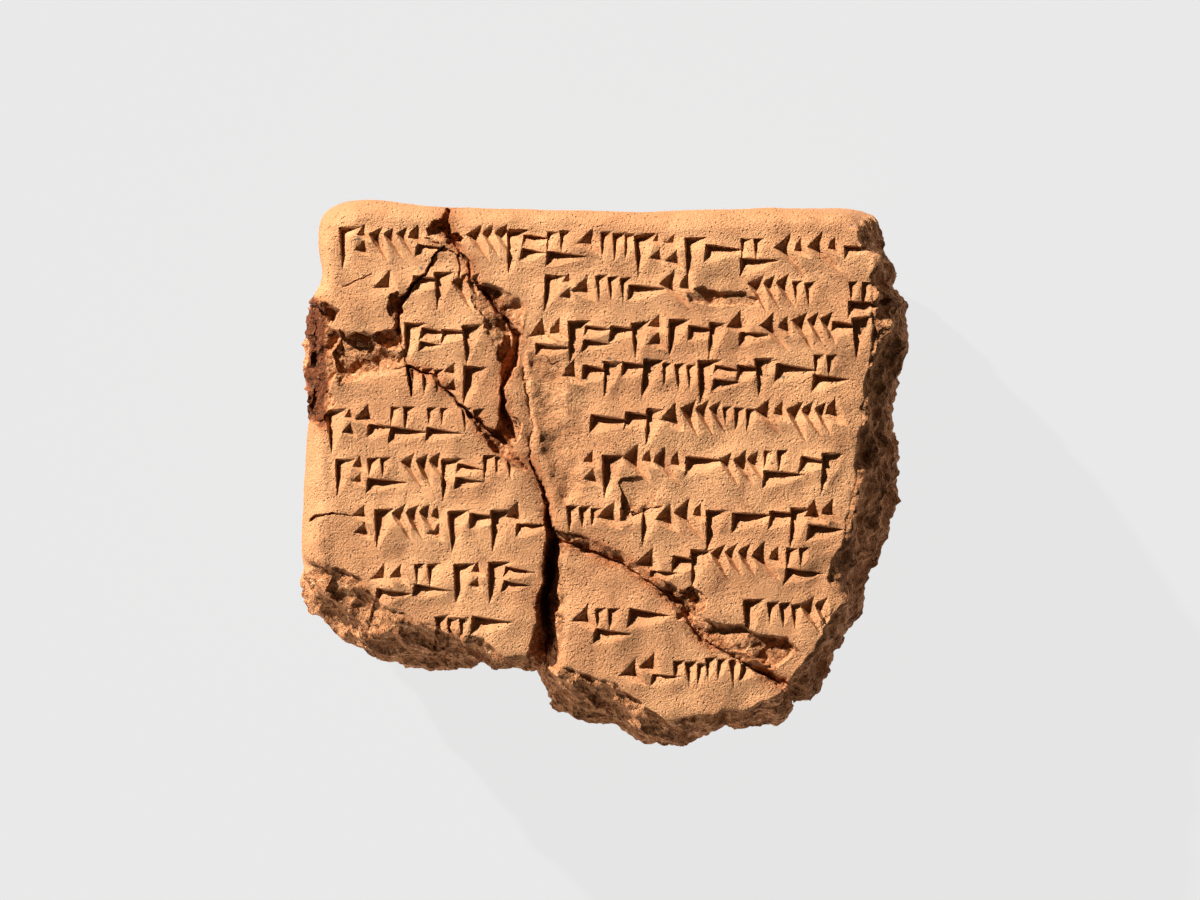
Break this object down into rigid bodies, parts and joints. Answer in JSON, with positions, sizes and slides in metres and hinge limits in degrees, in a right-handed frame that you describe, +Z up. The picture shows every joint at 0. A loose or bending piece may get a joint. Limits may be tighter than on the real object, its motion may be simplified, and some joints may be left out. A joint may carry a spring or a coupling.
{
  "type": "cuneiform tablet",
  "caption": "Broken squarish clay tablet with a pillowed written face of wedge strokes in rows, rounded maker's edges and rough broken sides.",
  "frame": {"origin": "on the ground under the middle of the tablet's bounding box", "axes": "+X to the right of the written face, +Y to its head, +Z up out of the written face; the tablet lies on its plain reverse"},
  "size_m": [0.0608, 0.0547, 0.023],
  "materials": {
    "clay": "matt dried clay, orange-buff"
  },
  "bodies": {
    "root": {"tablet": "clay"}
  },
  "joints": []
}
